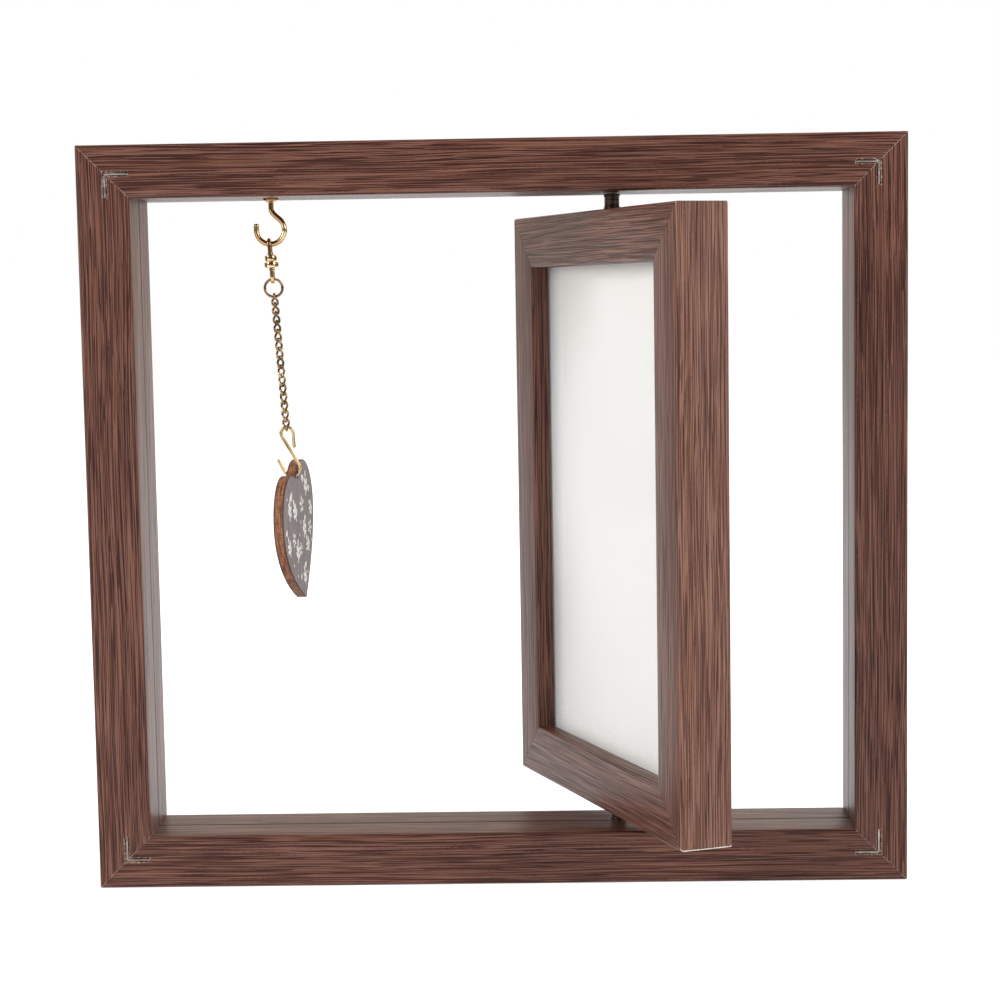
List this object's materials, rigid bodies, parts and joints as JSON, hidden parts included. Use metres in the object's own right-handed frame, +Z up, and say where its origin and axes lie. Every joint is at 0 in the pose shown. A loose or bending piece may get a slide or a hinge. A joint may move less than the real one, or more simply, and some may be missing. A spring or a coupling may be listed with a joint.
{
  "type": "rotating double-sided photo frame",
  "caption": "Standing rectangular frame in walnut-look foil with a portrait photo frame that turns inside it on upright pins, beside a heart charm hanging on a chain.",
  "frame": {"origin": "on the floor under the middle of the outer frame, at half its depth", "axes": "+X along the frame from the charm towards the inner frame, +Y away from the viewer, +Z up"},
  "size_m": [0.24, 0.1234, 0.219],
  "materials": {
    "walnut_foil": "satin printed walnut foil wrapped on fibreboard",
    "zinc_steel": "dull zinc-plated steel",
    "bronze_steel": "dark bronze lacquer",
    "clear_acrylic": "clear acrylic sheet, non-glare faced",
    "white_card": "matt white card",
    "polished_brass": "polished brass plating",
    "antique_brass": "darkened brass plating",
    "painted_board": "grey-brown painted thin board with a burnt cut edge"
  },
  "bodies": {
    "outer_frame": {"outer_bottom_rail": "walnut_foil", "outer_right_rail": "walnut_foil", "outer_top_rail": "walnut_foil", "outer_left_rail": "walnut_foil", "outer_nail_bottom_left": "zinc_steel", "outer_nail_bottom_right": "zinc_steel", "outer_nail_top_right": "zinc_steel", "outer_nail_top_left": "zinc_steel", "bottom_pivot_pin": "zinc_steel", "bottom_pivot_sleeve": "bronze_steel", "top_pivot_pin": "zinc_steel", "top_pivot_sleeve": "bronze_steel", "cup_hook": "polished_brass", "hook_collar": "polished_brass"},
    "inner_frame": {"inner_bottom_rail": "walnut_foil", "inner_right_rail": "walnut_foil", "inner_top_rail": "walnut_foil", "inner_left_rail": "walnut_foil", "inner_nail_bottom_left": "zinc_steel", "inner_nail_bottom_right": "zinc_steel", "inner_nail_top_right": "zinc_steel", "inner_nail_top_left": "zinc_steel"},
    "photo_pack": {"front_photo_card": "white_card", "front_glazing": "clear_acrylic", "rear_photo_card": "white_card", "rear_glazing": "clear_acrylic"},
    "swivel_upper": {"swivel_upper_eye": "polished_brass", "swivel_rivet": "polished_brass"},
    "swivel_lower": {"swivel_lower_eye": "polished_brass"},
    "jump_ring": {"jump_ring": "antique_brass"},
    "link_01": {"chain_link_01": "antique_brass"},
    "link_02": {"chain_link_02": "antique_brass"},
    "link_03": {"chain_link_03": "antique_brass"},
    "link_04": {"chain_link_04": "antique_brass"},
    "link_05": {"chain_link_05": "antique_brass"},
    "link_06": {"chain_link_06": "antique_brass"},
    "link_07": {"chain_link_07": "antique_brass"},
    "link_08": {"chain_link_08": "antique_brass"},
    "link_09": {"chain_link_09": "antique_brass"},
    "link_10": {"chain_link_10": "antique_brass"},
    "link_11": {"chain_link_11": "antique_brass"},
    "link_12": {"chain_link_12": "antique_brass"},
    "link_13": {"chain_link_13": "antique_brass"},
    "link_14": {"chain_link_14": "antique_brass"},
    "link_15": {"chain_link_15": "antique_brass"},
    "s_hook": {"s_hook": "polished_brass"},
    "heart": {"heart_tag": "painted_board"}
  },
  "joints": [
    {"name": "inner_frame_turn", "type": "hinge", "parent": "outer_frame", "child": "inner_frame", "pos_m": [0.0352, 0, 0.1095], "axis": [0, 0, 1], "continuous": true},
    {"name": "photo_pack_slide", "type": "slide", "parent": "inner_frame", "child": "photo_pack", "axis": [-0.3608, 0.9326, 0], "range_m": [0, 0.116]},
    {"name": "charm_swing", "type": "hinge", "parent": "outer_frame", "child": "swivel_upper", "pos_m": [-0.06607, 0, 0.19015], "axis": [0.9978, 0, 0.0658], "range_deg": [-45, 45]},
    {"name": "swivel_spin", "type": "hinge", "parent": "swivel_upper", "child": "swivel_lower", "pos_m": [-0.06572, 0, 0.18486], "axis": [-0.0658, 0, 0.9978], "continuous": true},
    {"name": "ring_swing", "type": "hinge", "parent": "swivel_lower", "child": "jump_ring", "pos_m": [-0.06539, 0, 0.17987], "axis": [-0.9978, 0, -0.0658], "range_deg": [-30, 30]},
    {"name": "link_01_swing", "type": "hinge", "parent": "jump_ring", "child": "link_01", "pos_m": [-0.06522, 0, 0.17728], "axis": [0, 1, 0], "range_deg": [-15, 15]},
    {"name": "link_02_swing", "type": "hinge", "parent": "link_01", "child": "link_02", "pos_m": [-0.06488, 0, 0.1721], "axis": [0.9978, 0, 0.0658], "range_deg": [-15, 15]},
    {"name": "link_03_swing", "type": "hinge", "parent": "link_02", "child": "link_03", "pos_m": [-0.06476, 0, 0.17025], "axis": [0.222, -0.9749, 0.0146], "range_deg": [-15, 15]},
    {"name": "link_04_swing", "type": "hinge", "parent": "link_03", "child": "link_04", "pos_m": [-0.06453, 0, 0.1668], "axis": [-0.9728, -0.2225, -0.0641], "range_deg": [-15, 15]},
    {"name": "link_05_swing", "type": "hinge", "parent": "link_04", "child": "link_05", "pos_m": [-0.06441, 0, 0.16494], "axis": [-0.4329, 0.901, -0.0285], "range_deg": [-15, 15]},
    {"name": "link_06_swing", "type": "hinge", "parent": "link_05", "child": "link_06", "pos_m": [-0.06418, 0, 0.16149], "axis": [0.899, 0.4339, 0.0592], "range_deg": [-15, 15]},
    {"name": "link_07_swing", "type": "hinge", "parent": "link_06", "child": "link_07", "pos_m": [-0.06406, 0, 0.15963], "axis": [0.6221, -0.7818, 0.041], "range_deg": [-15, 15]},
    {"name": "link_08_swing", "type": "hinge", "parent": "link_07", "child": "link_08", "pos_m": [-0.06383, 0, 0.15618], "axis": [-0.7801, -0.6235, -0.0514], "range_deg": [-15, 15]},
    {"name": "link_09_swing", "type": "hinge", "parent": "link_08", "child": "link_09", "pos_m": [-0.06371, 0, 0.15432], "axis": [-0.7801, 0.6235, -0.0514], "range_deg": [-15, 15]},
    {"name": "link_10_swing", "type": "hinge", "parent": "link_09", "child": "link_10", "pos_m": [-0.06348, 0, 0.15087], "axis": [0.6221, 0.7818, 0.041], "range_deg": [-15, 15]},
    {"name": "link_11_swing", "type": "hinge", "parent": "link_10", "child": "link_11", "pos_m": [-0.06336, 0, 0.14901], "axis": [0.899, -0.4339, 0.0592], "range_deg": [-15, 15]},
    {"name": "link_12_swing", "type": "hinge", "parent": "link_11", "child": "link_12", "pos_m": [-0.06313, 0, 0.14556], "axis": [-0.4329, -0.901, -0.0285], "range_deg": [-15, 15]},
    {"name": "link_13_swing", "type": "hinge", "parent": "link_12", "child": "link_13", "pos_m": [-0.06301, 0, 0.14371], "axis": [-0.9728, 0.2225, -0.0641], "range_deg": [-15, 15]},
    {"name": "link_14_swing", "type": "hinge", "parent": "link_13", "child": "link_14", "pos_m": [-0.06278, 0, 0.14025], "axis": [0.222, 0.9749, 0.0146], "range_deg": [-15, 15]},
    {"name": "link_15_swing", "type": "hinge", "parent": "link_14", "child": "link_15", "pos_m": [-0.06266, 0, 0.1384], "axis": [0.9978, 0, 0.0658], "range_deg": [-15, 15]},
    {"name": "s_hook_swing", "type": "hinge", "parent": "link_15", "child": "s_hook", "pos_m": [-0.06243, 0, 0.13495], "axis": [0, 1, 0], "range_deg": [-15, 15]},
    {"name": "heart_swing", "type": "hinge", "parent": "s_hook", "child": "heart", "pos_m": [-0.06105, 0, 0.12157], "axis": [0.9958, -0.0889, 0.0209], "range_deg": [-20, 20]}
  ]
}
